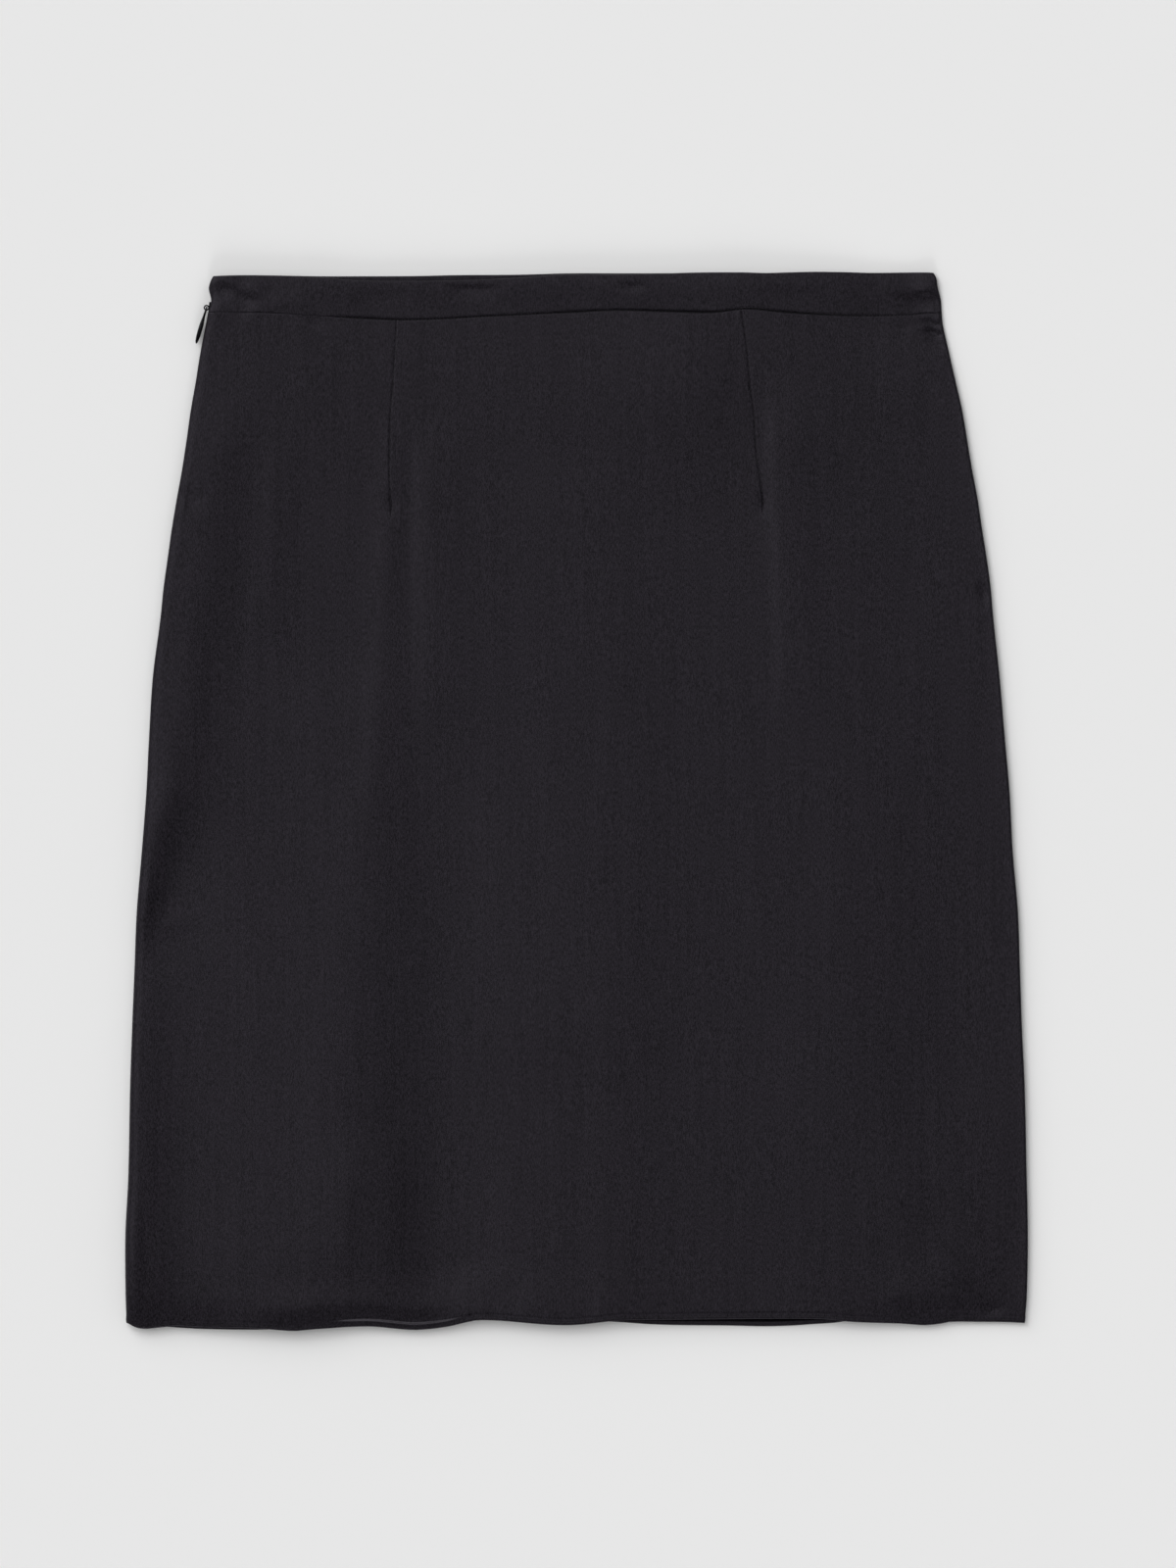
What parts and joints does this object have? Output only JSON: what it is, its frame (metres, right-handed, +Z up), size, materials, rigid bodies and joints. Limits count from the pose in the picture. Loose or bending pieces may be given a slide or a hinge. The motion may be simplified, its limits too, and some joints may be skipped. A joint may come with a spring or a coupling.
{
  "type": "straight skirt",
  "caption": "Straight knee-length skirt laid flat, with a narrow waistband, front darts, a concealed side zip with a swinging pull tab and a narrow turned hem.",
  "frame": {"origin": "under the middle of the skirt, on the surface that it lies on", "axes": "+Z up from that surface through the back and then the front, +Y from the hem to the waist, +X to the right as seen from above"},
  "size_m": [0.4601, 0.5396, 0.0065],
  "materials": {
    "satin": "black satin with a soft sheen and a fine lengthwise weave",
    "zip_tape": "black woven tape with a spiral chain",
    "black_lacquer": "gloss black lacquer"
  },
  "bodies": {
    "skirt": {"front_panel": "satin", "back_panel": "satin", "waistband_front": "satin", "waistband_back": "satin", "zip_tape": "zip_tape", "zip_slider": "black_lacquer"},
    "pull_tab": {"zip_pull_tab": "black_lacquer"}
  },
  "joints": [
    {"name": "pull_tab_swing", "type": "hinge", "parent": "skirt", "child": "pull_tab", "pos_m": [-0.1886, 0.252, 0.00325], "axis": [0, 0, -1], "range_deg": [-4, 160]}
  ]
}
